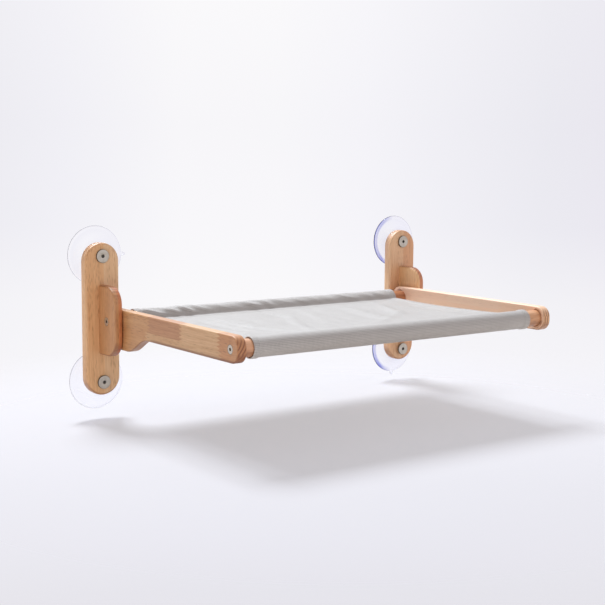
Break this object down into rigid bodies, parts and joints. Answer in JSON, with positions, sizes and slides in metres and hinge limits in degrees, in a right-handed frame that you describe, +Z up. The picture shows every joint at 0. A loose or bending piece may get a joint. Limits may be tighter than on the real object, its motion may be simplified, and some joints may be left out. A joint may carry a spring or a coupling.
{
  "type": "window mounted cat perch",
  "caption": "Canvas cat bed on a folding wood frame, held to a window by two wood mounts with clear suction cups.",
  "frame": {"origin": "on the window's face, midway between the two mounts and level with the pivot", "axes": "+X along the dowels, +Y into the window, +Z up"},
  "size_m": [0.608, 0.35, 0.258],
  "materials": {
    "wood": "satin lacquer over finger jointed rubberwood",
    "cheek_wood": "satin lacquer over rubberwood",
    "dowel_wood": "satin lacquer over turned wood",
    "steel": "nickel plated",
    "brass": "plain",
    "nylon": "matt",
    "clear_plastic": "clear soft vinyl",
    "canvas": "light grey woven canvas"
  },
  "bodies": {
    "window_mounts": {"left_back_plate": "wood", "right_back_plate": "wood", "left_cheek_block": "cheek_wood", "right_cheek_block": "cheek_wood", "left_cheek_wood_screws": "steel", "right_cheek_wood_screws": "steel", "upper_left_suction_cup": "clear_plastic", "lower_left_suction_cup": "clear_plastic", "upper_right_suction_cup": "clear_plastic", "lower_right_suction_cup": "clear_plastic", "upper_left_cup_insert": "brass", "lower_left_cup_insert": "brass", "upper_right_cup_insert": "brass", "lower_right_cup_insert": "brass", "upper_left_cup_bolt": "steel", "lower_left_cup_bolt": "steel", "upper_right_cup_bolt": "steel", "lower_right_cup_bolt": "steel"},
    "bed_frame": {"left_arm": "wood", "right_arm": "wood", "front_dowel": "dowel_wood", "rear_dowel": "dowel_wood", "left_pivot_screw": "steel", "right_pivot_screw": "steel", "left_front_screw": "steel", "right_front_screw": "steel", "left_pivot_washer": "nylon", "right_pivot_washer": "nylon", "rear_dowel_left_insert": "brass", "rear_dowel_right_insert": "brass", "front_dowel_left_insert": "brass", "front_dowel_right_insert": "brass", "fabric_bed": "canvas"}
  },
  "joints": [
    {"name": "frame_fold", "type": "hinge", "parent": "window_mounts", "child": "bed_frame", "pos_m": [0, -0.046, 0], "axis": [-1, 0, 0], "range_deg": [0, 90]}
  ]
}
